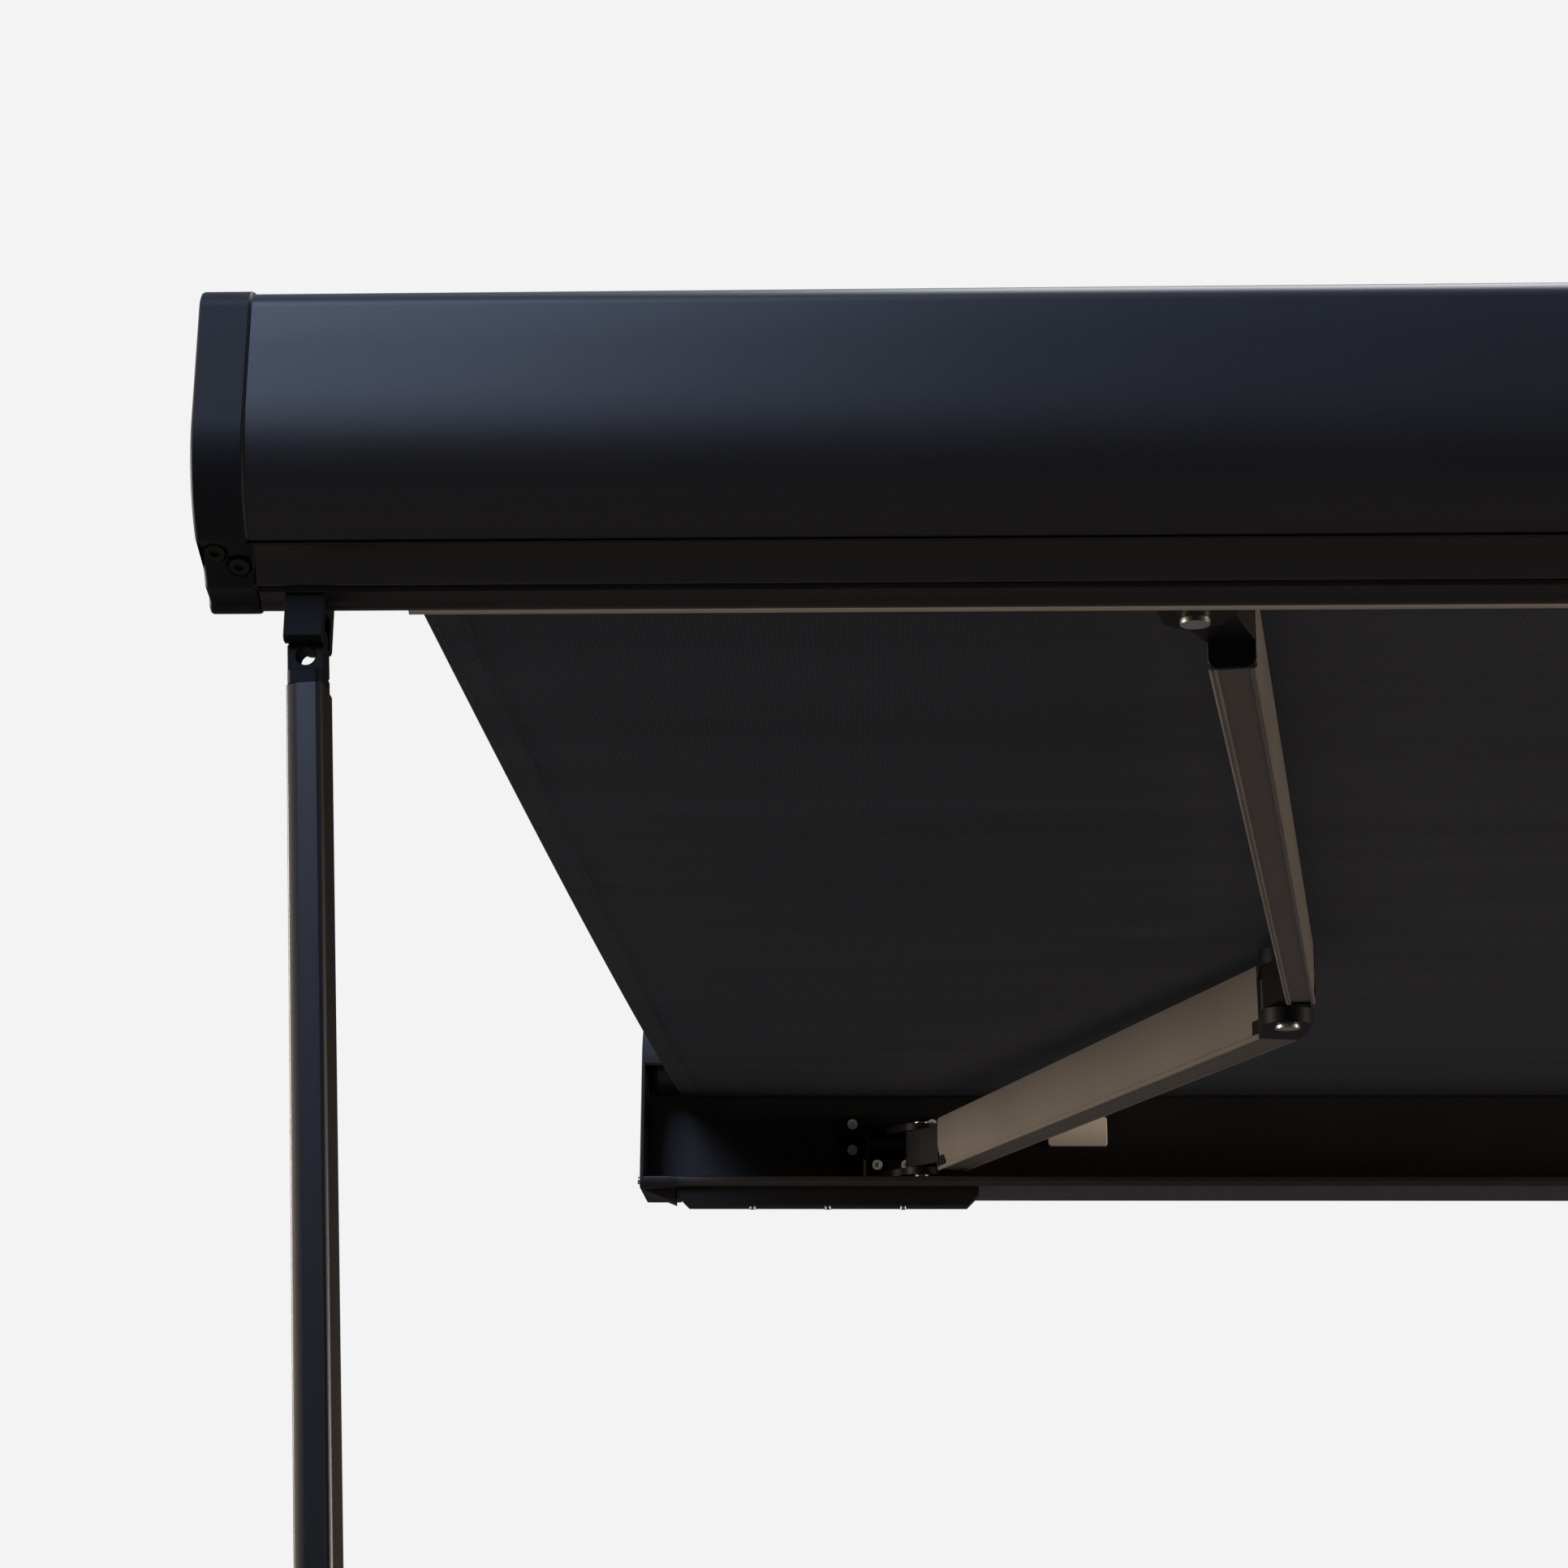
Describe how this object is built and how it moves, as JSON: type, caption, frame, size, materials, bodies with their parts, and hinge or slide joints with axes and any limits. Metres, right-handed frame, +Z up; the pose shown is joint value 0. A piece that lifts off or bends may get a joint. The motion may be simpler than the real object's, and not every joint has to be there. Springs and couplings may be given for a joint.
{
  "type": "roll out awning",
  "caption": "Caravan cassette awning: wall-mounted case, fabric roller, folding tension arms, lead rail and telescopic support legs.",
  "frame": {"origin": "centre of the middle wall bracket's four bolt holes, on the wall face", "axes": "+Z up, +X along the cassette to the right as seen from the front, -Y out from the wall"},
  "size_m": [3.5, 2.4907, 2.4362],
  "materials": {
    "black_aluminium": "satin black powder coat",
    "black_plastic": "moulded, fine grain",
    "arm_metal": "satin dark grey powder coat",
    "cast_black": "painted die casting",
    "zinc_steel": "bright zinc plate",
    "dark_steel": "black oxide",
    "nylon": "moulded natural nylon",
    "canopy_fabric": "coated woven cloth",
    "galvanised_tube": "galvanised tube"
  },
  "bodies": {
    "cassette": {"case_shell": "black_aluminium", "case_end_cap_left": "black_plastic", "case_end_cap_right": "black_plastic", "wall_bracket_left": "cast_black", "wall_bracket_centre": "cast_black", "wall_bracket_right": "cast_black", "case_foot_left": "cast_black", "case_foot_right": "cast_black", "case_screws": "dark_steel", "shoulder_bracket_left": "cast_black", "shoulder_bracket_right": "cast_black", "shoulder_pins": "zinc_steel", "shoulder_bolts": "zinc_steel", "arm_rest_pads": "nylon", "gearbox_housing": "black_plastic", "fabric_sheet": "canopy_fabric"},
    "roller": {"roller_tube": "galvanised_tube", "roller_plugs": "black_plastic", "fabric_roll": "canopy_fabric"},
    "crank": {"crank_eye": "zinc_steel"},
    "upper_arm_left": {"upper_arm_left": "arm_metal", "arm_spring_left": "zinc_steel", "shoulder_knuckle_left": "cast_black", "elbow_fork_left": "cast_black", "elbow_pin_left": "zinc_steel"},
    "forearm_left": {"forearm_left": "arm_metal", "elbow_eye_left": "cast_black", "wrist_eye_left": "cast_black"},
    "upper_arm_right": {"upper_arm_right": "arm_metal", "arm_spring_right": "zinc_steel", "shoulder_knuckle_right": "cast_black", "elbow_fork_right": "cast_black", "elbow_pin_right": "zinc_steel"},
    "forearm_right": {"forearm_right": "arm_metal", "elbow_eye_right": "cast_black", "wrist_eye_right": "cast_black"},
    "rail": {"lead_rail": "black_aluminium", "rail_end_cap_left": "black_plastic", "rail_end_cap_right": "black_plastic", "rail_cap_screws": "dark_steel", "hem_bar": "black_plastic", "wrist_bracket_left": "cast_black", "wrist_bracket_right": "cast_black", "wrist_pins": "zinc_steel", "leg_hanger_left": "cast_black", "leg_hanger_right": "cast_black", "hanger_pins": "zinc_steel"},
    "leg_left": {"leg_knee_left": "black_plastic", "leg_outer_left": "black_aluminium", "leg_clamp_left": "black_plastic"},
    "leg_inner_left": {"leg_inner_left": "black_aluminium"},
    "foot_left": {"leg_foot_left": "black_plastic"},
    "lever_left": {"clamp_lever_left": "black_plastic"},
    "leg_right": {"leg_knee_right": "black_plastic", "leg_outer_right": "black_aluminium", "leg_clamp_right": "black_plastic"},
    "leg_inner_right": {"leg_inner_right": "black_aluminium"},
    "foot_right": {"leg_foot_right": "black_plastic"},
    "lever_right": {"clamp_lever_right": "black_plastic"}
  },
  "joints": [
    {"name": "arm_fold", "type": "hinge", "parent": "cassette", "child": "upper_arm_left", "pos_m": [-1.38, -0.062, -0.044], "axis": [0, -0.0436, 0.999], "range_deg": [0, 74.8], "deforming": ["fabric_sheet"]},
    {"name": "elbow_left", "type": "hinge", "parent": "upper_arm_left", "child": "forearm_left", "pos_m": [-1.08821, -1.25781, -0.09621], "axis": [0, -0.0436, 0.999], "range_deg": [-153.17, 0]},
    {"name": "wrist_left", "type": "hinge", "parent": "forearm_left", "child": "rail", "pos_m": [-1.29213, -2.38255, -0.14532], "axis": [0, -0.0436, 0.999], "range_deg": [0, 78.37]},
    {"name": "shoulder_right", "type": "hinge", "parent": "cassette", "child": "upper_arm_right", "pos_m": [1.38, -0.062, -0.044], "axis": [0, -0.0436, 0.999], "range_deg": [-74.9, 0]},
    {"name": "elbow_right", "type": "hinge", "parent": "upper_arm_right", "child": "forearm_right", "pos_m": [1.08821, -1.25781, -0.09621], "axis": [0, -0.0436, 0.999], "range_deg": [0, 153.17]},
    {"name": "roller_spin", "type": "hinge", "parent": "cassette", "child": "roller", "pos_m": [0, -0.062, 0.06], "axis": [1, 0, 0], "range_deg": [0, 3815.8]},
    {"name": "crank_spin", "type": "hinge", "parent": "cassette", "child": "crank", "pos_m": [1.711, -0.0935, 0], "axis": [0, 0, 1], "range_deg": [0, 15260.2]},
    {"name": "leg_swivel_left", "type": "hinge", "parent": "rail", "child": "leg_left", "pos_m": [-1.705, -2.42705, -0.18632], "axis": [0, -1, 0], "range_deg": [0, 83.5]},
    {"name": "leg_slide_left", "type": "slide", "parent": "leg_left", "child": "leg_inner_left", "axis": [-0.0628, 0, 0.998], "range_m": [0, 0.9]},
    {"name": "foot_tilt_left", "type": "hinge", "parent": "leg_inner_left", "child": "foot_left", "pos_m": [-1.57245, -2.42705, -2.29315], "axis": [0, 1, 0], "range_deg": [-25, 25]},
    {"name": "clamp_lever_left", "type": "hinge", "parent": "leg_left", "child": "lever_left", "pos_m": [-1.63354, -2.45005, -1.32207], "axis": [-0.998, 0, -0.0628], "range_deg": [0, 100]},
    {"name": "leg_swivel_right", "type": "hinge", "parent": "rail", "child": "leg_right", "pos_m": [1.705, -2.42705, -0.18632], "axis": [0, 1, 0], "range_deg": [0, 83.5]},
    {"name": "leg_slide_right", "type": "slide", "parent": "leg_right", "child": "leg_inner_right", "axis": [0.0628, 0, 0.998], "range_m": [0, 0.9]},
    {"name": "foot_tilt_right", "type": "hinge", "parent": "leg_inner_right", "child": "foot_right", "pos_m": [1.57245, -2.42705, -2.29315], "axis": [0, 1, 0], "range_deg": [-25, 25]},
    {"name": "clamp_lever_right", "type": "hinge", "parent": "leg_right", "child": "lever_right", "pos_m": [1.63354, -2.45005, -1.32207], "axis": [-0.998, 0, 0.0628], "range_deg": [0, 100]}
  ],
  "couplings": [
    {"joint": "elbow_left", "follows": "arm_fold", "ratio": -2.045},
    {"joint": "wrist_left", "follows": "arm_fold", "ratio": 1.045},
    {"joint": "shoulder_right", "follows": "arm_fold", "ratio": -1},
    {"joint": "elbow_right", "follows": "arm_fold", "ratio": 2.045},
    {"joint": "roller_spin", "follows": "arm_fold", "ratio": 51},
    {"joint": "crank_spin", "follows": "arm_fold", "ratio": 204}
  ]
}
